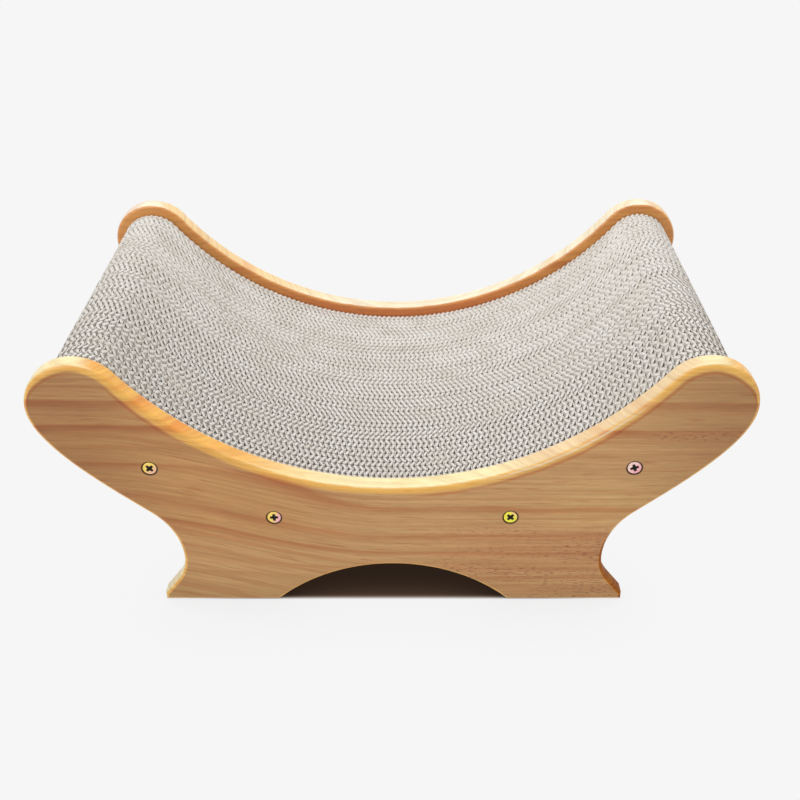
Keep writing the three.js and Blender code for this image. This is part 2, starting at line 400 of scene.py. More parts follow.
def grain(g, along, height, level, rings, fleck_rows, speckled=0.0):
    """Growth rings, streaks, fibres and resin flecks of a board, each from 0 to 1. along and
    height are millimetres along the rings and across them, and level is the place across the
    finer grain. Flecks also fill the part where speckled is 1."""
    slow = drawn_out(g, along, height, (0.006, 0.02), 0.0, 1.5)
    quick = drawn_out(g, along, height, (0.03, 0.06), 4.0)
    height = g.plus(height, g.spread(slow, -4.5, 4.5), g.spread(quick, -1.0, 1.0))
    late = late_wood(g, along, height, level, rings)
    streaks = drawn_out(g, along, level, (0.012, 0.5), 3.0, 3.0, 0.6)
    fibres = drawn_out(g, along, level, (0.09, 1.9), 7.0, 2.0, 0.6)
    flecks = resin_flecks(g, along, height, level, fleck_rows, speckled)
    return late, streaks, fibres, flecks


def fine_grain(g, tone, streaks, fibres, flecks):
    """Streaks, fibres and resin flecks over the tone of the rings."""
    tone = g.darken(0.38, tone, g.between(streaks, 0.28, 0.72), STREAK_TINT)
    tone = g.darken(0.26, tone, g.between(fibres, 0.3, 0.7), FIBRE_TINT)
    return g.mix(g.times(flecks, 0.62), tone, RESIN)


def finish_wood(g, tone, late, fibres, lacquer, gloss):
    """The tone, the lacquer on top, and the relief of the fibres."""
    g.set(
        Base_Color=tone,
        Roughness=g.spread(late, 0.46, 0.38),
        Coat_Weight=lacquer,
        Coat_Roughness=0.12,
        Coat_IOR=1.45,
        Specular_IOR_Level=gloss,
    )
    g.bump(g.plus(fibres, g.times(late, 1.2)), 0.00006, 0.6)
    return g.material


def top_edge_gap(g, x, z):
    """How far a point of a panel is below the seat and the ears' crowns, in millimetres. The
    number grows faster round the ears' outer sides, so what follows it thins out there."""
    down = g.minus(z, SEAT_CENTRE_HEIGHT)
    below_seat = g.minus(g.reach(x, down), SEAT_RADIUS)
    off_x = g.minus(g.absolute(x), EAR_X)
    off_z = g.minus(z, EAR_CENTRE_HEIGHT)
    inside_ear = g.minus(EAR_RADIUS, g.reach(off_x, off_z))
    past_seat = g.plus(
        g.times(g.absolute(x), math.cos(SEAT_HALF_ANGLE)),
        g.times(down, math.sin(SEAT_HALF_ANGLE)),
    )
    at_ear = g.between(past_seat, -0.5, 0.5)
    gap = g.plus(g.times(inside_ear, at_ear), g.times(below_seat, g.minus(1.0, at_ear)))
    round_the_end = g.times(g.between(off_x, 0, 12), g.between(off_z, 26, -2))
    low_on_ear = g.times(at_ear, g.between(off_z, 2, -12))
    return g.plus(gap, g.times(round_the_end, 5.0), g.times(low_on_ear, 60.0))


def panel_grain(g, along, y, z, rings, fleck_rows, speckled):
    """Grain of a side panel. The rings lie level in the ears and fall towards one side in the
    middle of the board, and they are fainter in the ear on that side."""
    depth = g.minus(OVERALL_WIDTH / 2, g.absolute(y))
    fall = g.times(g.between(along, -190, 0), g.between(z, 8, 45), RINGS_FALL)
    fall = g.times(fall, g.spread(g.between(z, 72, 124), 1.0, 0.08))
    height = g.plus(z, fall, g.times(depth, RINGS_TILT))
    level = g.plus(z, g.times(g.between(along, -190, 0), RINGS_FALL), g.times(depth, RINGS_TILT))
    late, streaks, fibres, flecks = grain(g, along, height, level, rings, fleck_rows, speckled)
    far_ear = g.times(g.between(along, 120, 165), g.between(z, 112, 126))
    late = g.times(late, g.spread(far_ear, 1.0, 0.65))
    return late, streaks, fibres, flecks


def face_and_turn(g, facing):
    """1 on a board's flat faces, and 1 on them and on its rounded edges, each with a slightly
    ragged border. facing is how far the surface looks along Y."""
    across = g.absolute(facing)
    ragged = g.minus(g.mottle((110, 110, 110)), 0.5)
    ragged = g.times(ragged, across, g.minus(1.0, across))
    across = g.plus(across, g.times(ragged, 1.6))
    return g.between(across, 0.93, 0.995), g.between(across, 0.45, 0.85)


def shade_line_below_gold(g, x, gap, gold_reach):
    """A line of painted shade just below the gold: on the right, on the left slope, and in patches."""
    line = g.window(gap, gold_reach - 1.2, gold_reach, gold_reach + 0.4, gold_reach + 2.2)
    patches = g.between(g.noise(g.join(g.times(x, 0.011), 1.0, 5.0), 1.0), 0.5, 0.62)
    on_left_slope = g.window(x, -176, -168, -150, -128)
    return g.times(line, g.largest(g.between(x, 20, 90), patches, on_left_slope))


def outer_face_tone(g, tone, x, z, along, shade_line, reddish):
    """The tone of a panel's outer face: a line of painted shade below the gold, darker in the
    ears and at the feet, and with its own redder and yellower areas."""
    tone = g.mix(g.times(shade_line, 0.85), tone, PAINTED_SHADE_LINE_TINT, "MULTIPLY")
    off_middle = g.absolute(g.minus(x, LIGHT_MIDDLE))
    tone = g.darken(1.0, tone, g.between(off_middle, 215, 125), EAR_TINT)
    tone = g.darken(1.0, tone, g.between(z, 10, 40), FOOT_TINT)
    redder = g.times(g.between(along, -10, -90), g.window(z, 38, 62, 136, 156))
    tone = g.mix(redder, tone, REDDER_TINT, "MULTIPLY")
    yellower = g.times(g.between(along, 70, 130), g.window(z, 56, 72, 84, 104))
    tone = g.mix(yellower, tone, YELLOWER_TINT, "MULTIPLY")
    return g.mix(reddish, tone, REDDISH_TINT, "MULTIPLY")


def painted_edge_highlight(g, x, gap, gold_reach):
    """1 on a thin painted highlight along the rounded edge, on the right slope of the seat."""
    line = g.window(gap, gold_reach - 4.6, gold_reach - 3.9, gold_reach - 3.2, gold_reach - 2.5)
    return g.times(line, g.window(x, 50, 90, 140, 168))


def countersink_walls(g, x, z):
    """1 at the walls of a panel's four countersinks, which take painted shade."""
    walls = 0.0
    for rail_x, rail_z in RAIL_PLACES[2:]:
        distance = g.reach(g.minus(g.absolute(x), rail_x), g.minus(z, rail_z))
        near = g.between(distance, COUNTERSINK_RADIUS + 0.45, COUNTERSINK_RADIUS - 0.05)
        walls = g.largest(walls, near)
    return walls


def panel_pine(name, rings, fleck_rows, run, gold_reach, face, inner_face, rim, right_rim, turned_edge):
    """Pine of a side panel, its grain along X. The outer face takes the wood's own tones. The inner
    face, the rims, the rims that slope to the right, and the rounded edge between face and rim take
    their own tones, partly the wood's and partly painted light and shade of how each faces the
    lamps. Each is a (light, dark) pair. The rounded edge's gold, painted light and shade, runs on
    over the outer face down to gold_reach millimetres below the seat."""
    g = Graph(name)
    axes = g.millimetres()
    x, y, z = axes["X"], axes["Y"], axes["Z"]
    along = g.times(x, run)
    reddish = g.times(g.between(along, 5, 55), g.between(z, 68, 56))
    speckled = g.times(reddish, 0.8)
    late, streaks, fibres, flecks = panel_grain(g, along, y, z, rings, fleck_rows, speckled)

    # Which part of the board's form a point is on, from its own direction
    direction = g.normal()
    on_face, on_turn = face_and_turn(g, direction["Y"])
    outward = g.between(g.times(direction["Y"], -run), -0.2, 0.2)
    sloping_right = g.between(direction["X"], 0.12, 0.5)
    sloping_left = g.times(g.between(direction["X"], -0.12, -0.45), g.between(along, 30, 100))
    # Right of the foot, where the panel is darker end grain with painted shade
    low_on_right = g.times(g.between(x, 90, 110), g.between(z, 64, 44))
    right_foot_grain_and_shade = g.times(g.between(direction["X"], 0.1, 0.4), low_on_right)

    # Gold, painted light and shade of a wider rounded edge, runs a little way down the outer face
    uneven = g.noise(g.join(g.times(x, 0.02), g.times(z, 0.02), 3.0), 2.0)
    gap = g.plus(top_edge_gap(g, x, z), g.spread(uneven, -1.5, 1.5))
    below_gold = g.between(gap, max(gold_reach - 2.6, 0.0), max(gold_reach, PANEL_EDGE_RADIUS))
    on_face = g.times(on_face, g.largest(below_gold, g.minus(1.0, outward)))
    # A thin line of painted shade below the gold
    shade_line = shade_line_below_gold(g, x, gap, gold_reach)

    outer_tone = outer_face_tone(g, g.mix(late, *face), x, z, along, shade_line, reddish)
    # The inner face: painted shade and bounce light, lighter towards the ends
    to_ends = g.between(g.absolute(x), 50, 150)
    inner_tone = g.mix(to_ends, g.mix(late, *inner_face), INNER_END_TINT, "MULTIPLY")
    # Rims and rounded edge: painted light and shade by the way they face, partly the edge grain's own
    # colour
    tone = g.mix(sloping_right, g.mix(late, *rim), g.mix(late, *right_rim))
    tone = g.mix(sloping_left, tone, LEFT_SLOPE_TINT, "MULTIPLY")
    tone = g.mix(on_turn, tone, g.mix(late, *turned_edge))
    tone = g.mix(right_foot_grain_and_shade, tone, g.mix(late, *RIGHT_OF_FOOT_GRAIN_AND_SHADE))
    tone = g.mix(on_face, tone, g.mix(outward, inner_tone, outer_tone))
    # A painted highlight along the rounded edge
    tone = g.mix(g.times(outward, painted_edge_highlight(g, x, gap, gold_reach), 0.7), tone, PAINTED_HIGHLIGHT)
    # Painted contact shadow along the bottom edge, at the floor
    tone = g.darken(1.0, tone, g.between(z, 0.4, 2.4), PAINTED_CONTACT_SHADOW_TINT)
    tone = fine_grain(g, tone, streaks, fibres, flecks)
    # Painted shade on the countersink walls
    tone = g.mix(g.times(countersink_walls(g, x, z), 0.88), tone, PAINTED_COUNTERSINK_SHADE)
    # No lacquer or gloss in the foot's painted shade
    lacquer = g.spread(right_foot_grain_and_shade, 0.5, 0.0)
    gloss = g.spread(right_foot_grain_and_shade, 0.3, 0.02)
    return finish_wood(g, tone, late, fibres, lacquer, gloss)


def rail_pine(name):
    """Bare planed pine of a cross rail, its grain along Y."""
    g = Graph(name)
    axes = g.millimetres()
    height = g.plus(axes["Z"], g.times(axes["X"], RAIL_RINGS_TILT))
    late, streaks, fibres, flecks = grain(g, axes["Y"], height, height, RAIL_RINGS, RAIL_FLECK_ROWS)
    tone = g.mix(late, linear(226, 194, 148), linear(198, 150, 102))
    tone = fine_grain(g, tone, streaks, fibres, flecks)
    return finish_wood(g, tone, late, fibres, 0.0, 0.3)


def cardboard(name):
    """Grey-white corrugated board: a torn, greyer cut edge on top of smoother, lighter walls."""
    g = Graph(name)
    cut = g.between(g.absolute(g.normal()["Z"]), 0.35, 0.8)
    fuzz = g.mottle((2400, 2400, 2400), 2.0, 0.65)
    patches = g.mottle((38, 60, 38))
    warmth = g.mottle((70, 190, 9), 1.0)
    wall = g.mix(g.between(warmth, 0.35, 0.65), linear(250, 247, 242), linear(240, 236, 230))
    # Painted shade in patches on the cell walls, growing towards the front
    painted_front_wall_shade = g.times(g.between(g.millimetres()["Y"], 90, -110), g.between(patches, 0.2, 0.55))
    wall = g.mix(painted_front_wall_shade, wall, linear(206, 201, 194))
    edge = g.mix(g.between(fuzz, 0.3, 0.7), linear(208, 205, 200), linear(217, 215, 211))
    tone = g.mix(cut, wall, edge)
    specks = g.mottle((260, 300, 90), 2.0, 0.6)
    tone = g.darken(0.8, tone, g.between(specks, 0.7, 0.62), (0.78, 0.7, 0.64, 1))
    tone = g.darken(1.0, tone, g.between(patches, 0.3, 0.7), (0.92, 0.90, 0.88, 1))
    g.set(Base_Color=tone, Roughness=g.spread(fuzz, 0.86, 0.98), Specular_IOR_Level=0.15)
    g.bump(fuzz, 0.00015, 0.5)
    return g.material


def plating(name, centre, gold, tint, turn, start):
    """Yellow-passivated zinc: gold that shades into another tint across the head, in the
    direction of turn and from start millimetres past the head's centre."""
    g = Graph(name)
    axes = g.millimetres()
    clouds = g.mottle((420, 420, 420), 2.0, 0.6)
    off_x = g.minus(axes["X"], centre[0])
    off_z = g.minus(axes["Z"], centre[1])
    sweep = g.plus(g.times(off_x, math.cos(turn)), g.times(off_z, math.sin(turn)))
    sweep = g.plus(sweep, g.spread(clouds, -1.5, 1.5))
    scuffs = g.mottle((1500, 1500, 1500), 2.0, 0.7)
    g.set(
        Base_Color=g.mix(g.between(sweep, start - 2.2, start + 2.2), gold, tint),
        Metallic=0.8,
        Roughness=g.spread(scuffs, 0.22, 0.42),
    )
    g.bump(scuffs, 0.00004, 0.4)
    return g.material


def recess_metal():
    """Painted shade inside a screw's cross recess: near-black, mottled metal."""
    g = Graph("recess_shadow")
    recess_mottle = g.mottle((900, 900, 900), 2.0, 0.6)
    tone = g.mix(g.between(recess_mottle, 0.3, 0.7), (0.012, 0.010, 0.008, 1), (0.035, 0.028, 0.018, 1))
    g.set(Base_Color=tone, Metallic=0.2, Roughness=0.7)
    g.bump(recess_mottle, 0.00005, 0.5)
    return g.material


# Meshes

def new_piece(name, vertices, faces, materials, face_materials=None, normals=None):
    """A mesh object from millimetre vertices. normals, if given, has one per face corner."""
    mesh = bpy.data.meshes.new(name)
    mesh.from_pydata([(x * MM, y * MM, z * MM) for x, y, z in vertices], [], faces)
    for material in materials:
        mesh.materials.append(material)
    if face_materials:
        mesh.polygons.foreach_set("material_index", face_materials)
    mesh.validate()
    if normals:
        mesh.polygons.foreach_set("use_smooth", [True] * len(mesh.polygons))
        mesh.normals_split_custom_set(normals)
    mesh.update()
    piece = bpy.data.objects.new(name, mesh)
    bpy.context.scene.collection.objects.link(piece)
    return piece


def turned(x, z, angle):
    """A point turned round 0, 0."""
    return (x * math.cos(angle) - z * math.sin(angle), x * math.sin(angle) + z * math.cos(angle))


def polar(centre, radius, angle):
    """The point at a distance from a centre, in the direction of an angle."""
    return (centre[0] + radius * math.cos(angle), centre[1] + radius * math.sin(angle))


def circle(centre, radius):
    """Points round a hole or a screw."""
    return [polar(centre, radius, 2 * math.pi * i / ROUND_SEGMENTS) for i in range(ROUND_SEGMENTS)]


def ring_faces(start, size, ring_count):
    """Four-sided faces that join rings of size points, which follow each other from start."""
    faces = []
    for ring in range(ring_count - 1):
        for i in range(size):
            a = start + ring * size + i
            b = start + ring * size + (i + 1) % size
            faces.append((a, b, b + size, a + size))
    return faces


def fill(vertices, loops):
    """Triangles of the flat area inside the first loop of points and outside the other loops."""
    order = [index for loop in loops for index in loop]
    flat = [[Vector((vertices[i][0], vertices[i][2], 0)) for i in loop] for loop in loops]
    return [(order[a], order[b], order[c]) for a, b, c in tessellate_polygon(flat)]


# Side panels

def arc(centre, radius, start, end, step):
    """Points along an arc, without its last one."""
    count = max(3, math.ceil(abs(end - start) / step))
    return [polar(centre, radius, start + (end - start) * i / count) for i in range(count)]


def bezier(p0, p1, p2, p3, count):
    """Points along a cubic curve, without its last one."""
    points = []
    for i in range(count):
        t = i / count
        s = 1 - t
        weights = (s**3, 3 * s * s * t, 3 * s * t * t, t**3)
        points.append(tuple(sum(w * p[k] for w, p in zip(weights, (p0, p1, p2, p3))) for k in (0, 1)))
    return points


def panel_right_side():
    """From the arch's crown out along the floor, and up the side to the top of the ear."""
    arch_radius = ((ARCH_SPAN / 2) ** 2 + ARCH_RISE**2) / (2 * ARCH_RISE)
    arch_half_angle = math.asin(ARCH_SPAN / 2 / arch_radius)
    up = math.pi / 2
    arch = (0, ARCH_RISE - arch_radius)
    points = arc(arch, arch_radius, up, up - arch_half_angle, ARCH_STEP)

    toe_height = PANEL_EDGE_RADIUS + FOOT_LIP_HEIGHT
    flare_height = WAIST_HEIGHT - toe_height
    hollow = (WAIST_WIDTH / 2 + WAIST_RADIUS_BELOW, WAIST_HEIGHT)
    toe_distance = math.hypot(hollow[0] - TOE_X, flare_height)
    toe_angle = math.atan2(flare_height, hollow[0] - TOE_X)
    hollow_angle = toe_angle - math.acos(WAIST_RADIUS_BELOW / toe_distance)
    points += [(ARCH_SPAN / 2, 0), (TOE_X, 0), (TOE_X, toe_height)]
    points += arc(hollow, WAIST_RADIUS_BELOW, math.pi + hollow_angle, math.pi, WAIST_STEP)

    turn_end = up + FLANK_ANGLE
    waist = (WAIST_WIDTH / 2 + WAIST_RADIUS_ABOVE, WAIST_HEIGHT)
    points += arc(waist, WAIST_RADIUS_ABOVE, math.pi, turn_end, WAIST_STEP)
    flank = polar(waist, WAIST_RADIUS_ABOVE, turn_end)
    low_pull = polar(flank, FLANK_REACH_LOW, FLANK_ANGLE)
    ear_side = (EAR_X + EAR_RADIUS, EAR_CENTRE_HEIGHT)
    high_pull = (ear_side[0], ear_side[1] - FLANK_REACH_HIGH)
    points += bezier(flank, low_pull, high_pull, ear_side, FLANK_POINTS)
    points += arc((EAR_X, EAR_CENTRE_HEIGHT), EAR_RADIUS, 0, up + SEAT_HALF_ANGLE, EAR_STEP)
    return points


def panel_outline():
    """The whole outline of a side panel, anticlockwise from the arch's crown."""
    right = panel_right_side()
    right_end = -math.pi / 2 + SEAT_HALF_ANGLE
    left_end = -math.pi / 2 - SEAT_HALF_ANGLE
    seat = arc((0, SEAT_CENTRE_HEIGHT), SEAT_RADIUS, right_end, left_end, SEAT_STEP)
    seat_end = (-seat[0][0], seat[0][1])
    left = [(-x, z) for x, z in reversed(right[1:])]
    return right + seat + [seat_end] + left


def outline_normals(points):
    """Outward directions of an anticlockwise outline: for each point a pair, for the stretch
    before it and the stretch after it. They are equal where the outline is smooth."""
    count = len(points)
    stretches = []
    for i in range(count):
        step = Vector(points[(i + 1) % count]) - Vector(points[i])
        stretches.append(Vector((step.y, -step.x)).normalized())
    pairs = []
    for i in range(count):
        before, after = stretches[i - 1], stretches[i]
        if before.dot(after) > math.cos(SMOOTH_CORNER):
            middle = (before + after).normalized()
            pairs.append((middle, middle))
        else:
            pairs.append((before, after))
    return pairs


def edge_rings():
    """The board's edge from the outer face to the inner one, as steps of (in from the outline,
    depth, angle that the surface is turned to the outer face)."""
    radius = PANEL_EDGE_RADIUS
    rings = []
    for i in range(EDGE_STEPS + 1):
        angle = math.pi / 2 * (1 - i / EDGE_STEPS)
        rings.append((radius * (1 - math.cos(angle)), radius * (1 - math.sin(angle)), angle))
    for i in range(EDGE_STEPS + 1):
        angle = -math.pi / 2 * i / EDGE_STEPS
        depth = PANEL_THICKNESS - radius * (1 + math.sin(angle))
        rings.append((radius * (1 - math.cos(angle)), depth, angle))
    return rings


class PanelMesh:
    """Points, faces and corner directions of a side panel. Depth runs in from the outer face,
    so the front panel's depth is +Y and the rear panel is turned half round."""

    def __init__(self, front):
        self.side = 1 if front else -1
        self.vertices = []
        self.faces = []
        self.normals = []

    def put(self, x, depth, z):
        self.vertices.append((self.side * x, self.side * (depth - OVERALL_WIDTH / 2), z))

    def direction(self, x, depth, z):
        return (self.side * x, self.side * depth, z)

    def add_edge(self, outline):
        """The rim and both round-overs. Gives the borders of the outer and the inner face."""
        count = len(outline)
        rings = edge_rings()
        pairs = outline_normals(outline)
        outwards = [(before + after) / (1 + before.dot(after)) for before, after in pairs]
        for inset, depth, _ in rings:
            for (x, z), away in zip(outline, outwards):
                self.put(x - inset * away.x, depth, z - inset * away.y)
        for ring in range(len(rings) - 1):
            for i in range(count):
                j = (i + 1) % count
                a, b = ring * count + i, ring * count + j
                self.faces.append((b, a, a + count, b + count))
                corners = ((j, 0, ring), (i, 1, ring), (i, 1, ring + 1), (j, 0, ring + 1))
                for point, stretch, level in corners:
                    flat = pairs[point][stretch]
                    angle = rings[level][2]
                    out = math.cos(angle)
                    self.normals.append(self.direction(flat.x * out, -math.sin(angle), flat.y * out))
        last = (len(rings) - 1) * count
        return list(range(count)), list(range(last, last + count))

    def add_hole(self, centre):
        """A countersunk screw hole. Gives its mouths in the outer and the inner face."""
        start = len(self.vertices)
        for radius, depth in HOLE_LEVELS:
            for x, z in circle(centre, radius):
                self.put(x, depth, z)
        self.faces += ring_faces(start, ROUND_SEGMENTS, len(HOLE_LEVELS))
        for _ in range(len(HOLE_LEVELS) - 1):
            for i in range(ROUND_SEGMENTS):
                for k in (i, i + 1, i + 1, i):
                    angle = 2 * math.pi * k / ROUND_SEGMENTS
                    self.normals.append(self.direction(-math.cos(angle), 0, -math.sin(angle)))
        last = start + (len(HOLE_LEVELS) - 1) * ROUND_SEGMENTS
        return list(range(start, start + ROUND_SEGMENTS)), list(range(last, last + ROUND_SEGMENTS))

    def add_face(self, loops, depth):
        """The flat face inside the first loop and round the others, turned to depth -1 or 1."""
        outward = self.direction(0, depth, 0)
        for corner in fill(self.vertices, loops):
            p, q, r = (Vector(self.vertices[i]) for i in corner)
            facing = (q - p).cross(r - p).y
            self.faces.append(corner if facing * outward[1] >= 0 else corner[::-1])
            self.normals += [outward] * 3


def panel_piece(name, front, material):
    """A side panel with rounded edges and four countersunk holes."""
    mesh = PanelMesh(front)
    outer_border, inner_border = mesh.add_edge(panel_outline())
    outer_mouths, inner_mouths = zip(*(mesh.add_hole(centre) for centre in RAIL_PLACES))
    mesh.add_face([outer_border, *outer_mouths], -1)
    mesh.add_face([inner_border, *inner_mouths], 1)
    return new_piece(name, mesh.vertices, mesh.faces, [material], normals=mesh.normals)


# Rails and screws

def rail_piece(name, centre, material):
    """A square pine rail with eased long edges, cut square at both ends."""
    half_w, half_h, ease = RAIL_WIDTH / 2, RAIL_HEIGHT / 2, RAIL_EASED_EDGE
    profile = []
    for quarter, (right, up) in enumerate(((1, 1), (-1, 1), (-1, -1), (1, -1))):
        corner = (centre[0] + right * (half_w - ease), centre[1] + up * (half_h - ease))
        for i in range(RAIL_EDGE_STEPS + 1):
            angle = quarter * math.pi / 2 + math.pi / 2 * i / RAIL_EDGE_STEPS
            profile.append(polar(corner, ease, angle))
    half_length = INNER_WIDTH / 2 - RAIL_END_GAP
    count = len(profile)
    vertices = [(x, y, z) for y in (-half_length, half_length) for x, z in profile]
    faces = ring_faces(0, count, 2)
    faces.append(tuple(reversed(range(count))))
    faces.append(tuple(range(count, 2 * count)))
    return new_piece(name, vertices, [tuple(reversed(face)) for face in faces], [material])


def screw_profile():
    """(radius, depth) steps of a screw from its face to its point."""
    head, shank = SCREW_HEAD_RADIUS, SCREW_SHANK_RADIUS
    cone = head - shank
    profile = [(head - inset, depth) for inset, depth in SCREW_HEAD_ROUNDING]
    profile += [
        (head, SCREW_HEAD_RIM),
        (shank, SCREW_HEAD_RIM + cone),
        (shank, SCREW_LENGTH - SCREW_POINT_LENGTH),
        (SCREW_POINT_RADIUS, SCREW_LENGTH),
    ]
    return profile


def recess_cross():
    """Outline of the cross recess in a screw's face."""
    inner = RECESS_HALF_WIDTH * RECESS_CORNER_SHARE
    arm = ((RECESS_REACH, -RECESS_HALF_WIDTH), (RECESS_REACH, RECESS_HALF_WIDTH), (inner, inner))
    return [turned(u, w, quarter * math.pi / 2) for quarter in range(4) for u, w in arm]


def screw_piece(name, centre, front, turn, materials):
    """A countersunk screw with a cross recess, its point towards the middle of the rail. It is
    made of the first material, and the recess of the second."""
    side = 1 if front else -1
    face_y = OVERALL_WIDTH / 2 - SCREW_HEAD_SINK
    vertices, faces, kinds = [], [], []

    def put(u, depth, w):
        x, z = turned(u, w, turn)
        vertices.append((centre[0] + side * x, side * (depth - face_y), centre[1] + z))

    def add(new_faces, kind):
        faces.extend(new_faces)
        kinds.extend([kind] * len(new_faces))

    profile = screw_profile()
    for radius, depth in profile:
        for u, w in circle((0, 0), radius):
            put(u, depth, w)
    add(ring_faces(0, ROUND_SEGMENTS, len(profile)), 0)
    last = (len(profile) - 1) * ROUND_SEGMENTS
    add([tuple(range(last, last + ROUND_SEGMENTS))], 0)

    cross = recess_cross()
    start = len(vertices)
    size = len(cross)
    for share, depth in ((1.0, 0.0), (RECESS_FLOOR_SHARE, RECESS_DEPTH)):
        for u, w in cross:
            put(u * share, depth, w * share)
    add([(b, a, d, c) for a, b, c, d in ring_faces(start, size, 2)], 1)
    add([tuple(range(start + size, start + 2 * size))], 1)
    add(fill(vertices, [list(range(ROUND_SEGMENTS)), list(range(start, start + size))]), 0)
    return new_piece(name, vertices, faces, materials, kinds)


# Cardboard layers

def pad_curve(x, radius, up):
    """Height at x of an arc under the seat, and past it of the pad's round end: of its upper
    half where up is 1, and of its lower half where up is -1."""
    if abs(x) <= radius * math.sin(SEAT_HALF_ANGLE):
        return SEAT_CENTRE_HEIGHT - math.sqrt(radius**2 - x * x)
    return EAR_CENTRE_HEIGHT + up * math.sqrt(max(0.0, PAD_END_RADIUS**2 - (abs(x) - EAR_X) ** 2))


def pad_underside(x):
    """Height of the pad's lower side at x, notched over the rails."""
    for rail_x, rail_z in RAIL_PLACES:
        if abs(x - rail_x) < RAIL_WIDTH / 2 + NOTCH_CLEARANCE:
            return rail_z + RAIL_HEIGHT / 2 + PAD_SEAT_GAP
    return pad_curve(x, PAD_UNDER_RADIUS, -1)


def liner_columns():
    """Places along X where a flat sheet's outline needs a point: closer together towards the
    pad's ends, and one on each side of a notch's corner."""
    quarter_steps = [math.pi / 2 * i / LINER_STEPS for i in range(-LINER_STEPS, LINER_STEPS + 1)]
    columns = [PAD_HALF_LENGTH * LINER_REACH * math.sin(angle) for angle in quarter_steps]
    for rail_x, _ in RAIL_PLACES:
        for side in (-1, 1):
            edge = rail_x + side * (RAIL_WIDTH / 2 + NOTCH_CLEARANCE)
            columns += [edge - NOTCH_CORNER, edge + NOTCH_CORNER]
    return sorted(columns)


def flute_leans():
    """For each layer, how far its flutes lean and where along X they start. Neighbouring sheets
    are glued crest to crest, so the flutes zigzag from sheet to sheet with small slips."""
    rng = random.Random(LEANS_SEED)
    leans = []
    crest = 0.0
    leans_right = True
    for _ in range(LAYER_COUNT):
        leans_right = leans_right != (rng.random() < LEAN_TURNS_CHANCE)
        lean = rng.uniform(LEAN_LEAST, LEAN_MOST) * (1 if leans_right else -1)
        start = crest + FLUTE_WAVELENGTH / 4 + lean
        crest = start + FLUTE_WAVELENGTH / 4 + lean + rng.gauss(0, FLUTE_SLIP)
        leans.append((lean, start))
    return leans


def flute_line(rng, lean, begin, paper):
    """A layer's wavy sheet seen from above, as points of x, y, thickness and dip. The flutes of a
    sheet lean one way. The cut folds the steep half of each flute under the leaning half, so
    it shows less of its edge and lies deeper."""
    amplitude = (LAYER_PITCH - paper) / 2 + FLUTE_OVERLAP
    drifts = [
        (rng.uniform(*DRIFT_SIZES), rng.uniform(0, 2 * math.pi), rng.uniform(*DRIFT_RATES))
        for _ in range(DRIFT_COUNT)
    ]
    waves = math.ceil(PAD_HALF_LENGTH / FLUTE_WAVELENGTH) + 2
    begin = math.fmod(begin, FLUTE_WAVELENGTH)
    points = []
    for i in range(-waves * FLUTE_POINTS, waves * FLUTE_POINTS + 1):
        t = 2 * math.pi * i / FLUTE_POINTS
        along = begin + FLUTE_WAVELENGTH * i / FLUTE_POINTS + lean * math.sin(t)
        along += sum(size * math.sin(rate * along + start) for size, start, rate in drifts)
        folded = max(0.0, min(1.0, 0.5 - FOLD_STEEPNESS * math.cos(t) * math.copysign(1, lean)))
        thickness = paper * (1 + (FOLDED_SHARE - 1) * folded)
        if abs(along) < PAD_HALF_LENGTH - FLUTE_END_GAP:
            points.append((along, amplitude * math.sin(t), thickness, FOLDED_DIP * folded))
    return points


def add_sheet(vertices, faces, line, middle_y, rng, roughness):
    """A sheet of paper that stands on its edge along a line, cut to the pad's outline."""
    start = len(vertices)
    count = len(line)
    furthest = PAD_HALF_LENGTH - CUT_END_GAP
    for i, (x, y, thickness, dip) in enumerate(line):
        before, after = line[max(i - 1, 0)], line[min(i + 1, count - 1)]
        step = Vector((after[0] - before[0], after[1] - before[1])).normalized()
        for side in (-0.5, 0.5):
            px = x - step.y * thickness * side
            py = y + step.x * thickness * side
            px = max(-furthest, min(furthest, px))
            top = pad_curve(px, PAD_TOP_RADIUS, 1) - dip - rng.uniform(0, 1) * roughness
            low = min(pad_underside(px), top - CUT_LEAST_HEIGHT)
            vertices.append((px, middle_y + py, top))
            vertices.append((px, middle_y + py, low))
    for i in range(count - 1):
        a = start + 4 * i
        b = a + 4
        faces.append((a, b, b + 2, a + 2))
        faces.append((a + 1, a + 3, b + 3, b + 1))
        faces.append((a, a + 1, b + 1, b))
        faces.append((a + 2, b + 2, b + 3, a + 3))
    last = start + 4 * (count - 1)
    faces.append((start, start + 2, start + 3, start + 1))
    faces.append((last + 1, last + 3, last + 2, last))


def layer_piece(index, lean, begin, material):
    """One corrugated sheet of the block: two flat liners and the wavy sheet between them."""
    rng = random.Random(LAYERS_SEED + index)
    middle = (index - (LAYER_COUNT - 1) / 2) * LAYER_PITCH
    vertices, faces = [], []
    edge = LAYER_PITCH / 2 - LINER_PAPER / 2 - LINER_SIDE_GAP
    columns = liner_columns()
    for side in (-edge, edge):
        line = [(x, side, LINER_PAPER, LINER_RECESS) for x in columns]
        add_sheet(vertices, faces, line, middle, rng, LINER_ROUGHNESS)
    paper = FRONT_FLUTE_PAPER + (REAR_FLUTE_PAPER - FRONT_FLUTE_PAPER) * index / (LAYER_COUNT - 1)
    line = flute_line(rng, lean, begin, paper)
    add_sheet(vertices, faces, line, middle, rng, CUT_ROUGHNESS)
    return new_piece(f"corrugated_layer_{index + 1:02d}", vertices, faces, [material])


# Materials of the pieces

# How far the rounded edge's painted light and shade runs down the front panel's outer face
FRONT_GOLD_REACH = PANEL_EDGE_RADIUS + 3
REAR_GOLD_REACH = 0.0

